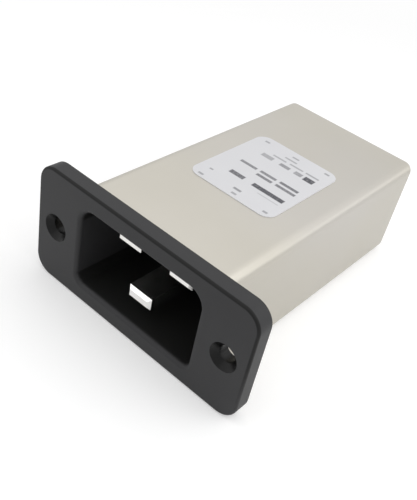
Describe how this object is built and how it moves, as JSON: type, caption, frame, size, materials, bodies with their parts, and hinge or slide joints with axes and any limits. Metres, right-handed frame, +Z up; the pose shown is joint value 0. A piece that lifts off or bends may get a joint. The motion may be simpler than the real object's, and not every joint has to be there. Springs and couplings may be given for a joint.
{
  "type": "emi line filter",
  "caption": "Panel-mount mains inlet with a built-in line filter: black moulded flange and recessed flat-blade socket on a long rounded metal can with push-on load tabs.",
  "frame": {"origin": "middle of the screw pattern on the flange's rear face, the face that seats on the panel", "axes": "+X along the flange, +Y into the panel along the can, +Z up, towards the label"},
  "size_m": [0.0622, 0.0917, 0.0296],
  "materials": {
    "black_moulding": "fine matt moulding, rounded edges",
    "plated_contacts": "bright nickel plating",
    "plated_sheet": "drawn sheet with a warm satin plating",
    "label_film": "smooth white self-adhesive label",
    "liner_film": "translucent insulating film",
    "board_laminate": "green laminate",
    "ferrite": "dark coated ferrite",
    "spacer_moulding": "plain off-white moulding",
    "enamelled_copper": "clear enamel over copper",
    "capacitor_box": "smooth moulded box, tinned pins",
    "disc_coating": "dipped coating, tinned pins",
    "resistor_body": "lacquered body, tinned pins",
    "tinned_wire": "bright tinned copper",
    "earth_insulation": "green and yellow insulation",
    "terminal_moulding": "plain off-white moulding",
    "tinned_tabs": "bright tinned brass",
    "rivet_steel": "plated steel"
  },
  "bodies": {
    "root": {"inlet_moulding": "black_moulding", "line_blade": "plated_contacts", "neutral_blade": "plated_contacts", "earth_blade": "plated_contacts", "filter_can": "plated_sheet", "rating_label": "label_film", "insulating_liner": "liner_film", "circuit_board": "board_laminate", "choke_core": "ferrite", "choke_divider": "spacer_moulding", "line_winding": "enamelled_copper", "neutral_winding": "enamelled_copper", "x_capacitor": "capacitor_box", "line_y_capacitor": "disc_coating", "neutral_y_capacitor": "disc_coating", "bleed_resistor": "resistor_body", "line_lead": "tinned_wire", "neutral_lead": "tinned_wire", "earth_lead": "earth_insulation", "capacitor_earth_lead": "tinned_wire", "terminal_block": "terminal_moulding", "line_tab": "tinned_tabs", "neutral_tab": "tinned_tabs", "earth_tab": "tinned_tabs", "earth_rivet": "rivet_steel"}
  },
  "joints": []
}
